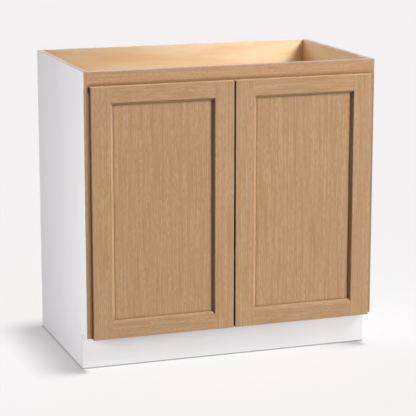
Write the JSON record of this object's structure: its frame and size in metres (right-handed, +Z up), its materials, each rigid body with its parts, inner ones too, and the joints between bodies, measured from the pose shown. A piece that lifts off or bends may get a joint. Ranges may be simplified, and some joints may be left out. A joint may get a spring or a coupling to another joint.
{
  "type": "kitchen base cabinet",
  "caption": "Open-topped kitchen base cabinet with white sides, a recessed toe kick, an adjustable shelf and a pair of framed oak doors on concealed hinges.",
  "frame": {"origin": "middle of the footprint, on the floor", "axes": "+X to the right when facing the doors, +Y from the doors to the back, +Z up"},
  "size_m": [0.889, 0.5534, 0.8763],
  "materials": {
    "rift_oak": "clear matt lacquer",
    "birch_ply": "clear satin lacquer, raw edges",
    "white_laminate": "matt white laminate",
    "nickel_plated_steel": "nickel plated",
    "beech_dowel": "plain fluted dowel",
    "clear_bumper": "soft translucent"
  },
  "bodies": {
    "carcass": {"back_panel": "birch_ply", "back_screws": "nickel_plated_steel", "bottom_dowels": "beech_dowel", "bottom_lipping": "rift_oak", "bottom_panel": "birch_ply", "left_arm_screws": "nickel_plated_steel", "left_corner_block": "birch_ply", "left_lower_hinge_arm": "nickel_plated_steel", "left_lower_hinge_plate": "nickel_plated_steel", "left_plate_screws": "nickel_plated_steel", "left_side_facing": "white_laminate", "left_side_lipping": "rift_oak", "left_side_panel": "birch_ply", "left_upper_hinge_arm": "nickel_plated_steel", "left_upper_hinge_plate": "nickel_plated_steel", "rail_dowels": "beech_dowel", "right_arm_screws": "nickel_plated_steel", "right_corner_block": "birch_ply", "right_lower_hinge_arm": "nickel_plated_steel", "right_lower_hinge_plate": "nickel_plated_steel", "right_plate_screws": "nickel_plated_steel", "right_side_facing": "white_laminate", "right_side_lipping": "rift_oak", "right_side_panel": "birch_ply", "right_upper_hinge_arm": "nickel_plated_steel", "right_upper_hinge_plate": "nickel_plated_steel", "shelf": "birch_ply", "shelf_lipping": "rift_oak", "shelf_pins": "nickel_plated_steel", "toe_board": "birch_ply", "toe_kick_cover": "white_laminate", "top_front_rail": "birch_ply", "top_rail_facing": "rift_oak"},
    "left_door": {"left_cup_screws": "nickel_plated_steel", "left_door_bottom_rail": "rift_oak", "left_door_bumpers": "clear_bumper", "left_door_hinge_stile": "rift_oak", "left_door_meeting_stile": "rift_oak", "left_door_panel": "rift_oak", "left_door_top_rail": "rift_oak", "left_lower_hinge_cup": "nickel_plated_steel", "left_lower_hinge_pin": "nickel_plated_steel", "left_upper_hinge_cup": "nickel_plated_steel", "left_upper_hinge_pin": "nickel_plated_steel"},
    "right_door": {"right_cup_screws": "nickel_plated_steel", "right_door_bottom_rail": "rift_oak", "right_door_bumpers": "clear_bumper", "right_door_hinge_stile": "rift_oak", "right_door_meeting_stile": "rift_oak", "right_door_panel": "rift_oak", "right_door_top_rail": "rift_oak", "right_lower_hinge_cup": "nickel_plated_steel", "right_lower_hinge_pin": "nickel_plated_steel", "right_upper_hinge_cup": "nickel_plated_steel", "right_upper_hinge_pin": "nickel_plated_steel"}
  },
  "joints": [
    {"name": "left_door_hinge", "type": "hinge", "parent": "carcass", "child": "left_door", "pos_m": [-0.42251, -0.2678, 0.46935], "axis": [0, 0, -1], "range_deg": [0, 105]},
    {"name": "right_door_hinge", "type": "hinge", "parent": "carcass", "child": "right_door", "pos_m": [0.42251, -0.2678, 0.46935], "axis": [0, 0, 1], "range_deg": [0, 105]}
  ]
}
